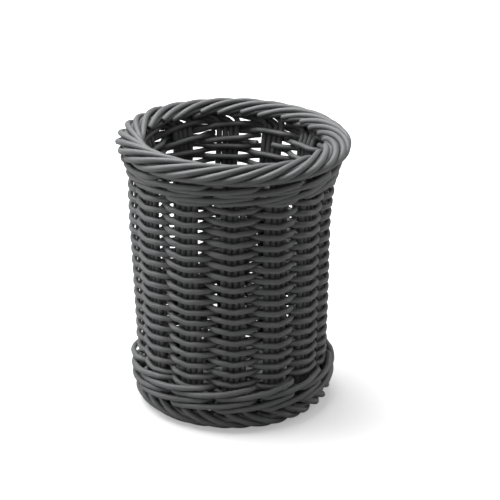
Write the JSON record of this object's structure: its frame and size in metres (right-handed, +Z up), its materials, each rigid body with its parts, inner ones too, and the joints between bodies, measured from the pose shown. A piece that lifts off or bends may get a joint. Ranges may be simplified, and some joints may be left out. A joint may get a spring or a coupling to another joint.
{
  "type": "cutlery basket",
  "caption": "Round open basket of woven round plastic strand with a thick rolled rim and a laced foot, for holding cutlery upright on a table.",
  "frame": {"origin": "middle of the foot's circle, on the surface the basket stands on", "axes": "+Z up along the basket's own axis, -Y towards the front as pictured, +X to the right of the front"},
  "size_m": [0.1197, 0.1198, 0.148],
  "materials": {
    "stake": "satin charcoal plastic strand, upright stakes and rolled rim",
    "weave": "satin charcoal plastic strand, plain weave",
    "wale": "satin charcoal plastic strand, three-strand wales",
    "foot": "satin charcoal plastic strand, foot border",
    "base": "satin charcoal plastic strand, base sticks and base weave"
  },
  "bodies": {
    "root": {"stake_group_1": "stake", "stake_group_2": "stake", "stake_group_3": "stake", "stake_group_4": "stake", "stake_group_5": "stake", "stake_group_6": "stake", "stake_group_7": "stake", "stake_group_8": "stake", "stake_group_9": "stake", "stake_group_10": "stake", "stake_group_11": "stake", "stake_group_12": "stake", "stake_group_13": "stake", "weaver_1": "weave", "weaver_2": "weave", "weaver_3": "weave", "weaver_4": "weave", "weaver_5": "weave", "weaver_6": "weave", "top_wale_1": "wale", "top_wale_2": "wale", "top_wale_3": "wale", "bottom_wale_1": "wale", "bottom_wale_2": "wale", "bottom_wale_3": "wale", "foot_strand_1": "foot", "foot_strand_2": "foot", "foot_strand_3": "foot", "foot_strand_4": "foot", "foot_strand_5": "foot", "foot_strand_6": "foot", "foot_strand_7": "foot", "foot_strand_8": "foot", "foot_strand_9": "foot", "foot_strand_10": "foot", "foot_strand_11": "foot", "foot_strand_12": "foot", "foot_strand_13": "foot", "foot_strand_14": "foot", "foot_strand_15": "foot", "foot_strand_16": "foot", "foot_strand_17": "foot", "foot_strand_18": "foot", "foot_strand_19": "foot", "foot_strand_20": "foot", "foot_strand_21": "foot", "foot_strand_22": "foot", "foot_strand_23": "foot", "foot_strand_24": "foot", "foot_strand_25": "foot", "foot_strand_26": "foot", "base_stick_1": "base", "base_stick_2": "base", "base_stick_3": "base", "base_stick_4": "base", "base_stick_5": "base", "base_stick_6": "base", "base_half_stick": "base", "base_weaver": "base"}
  },
  "joints": []
}
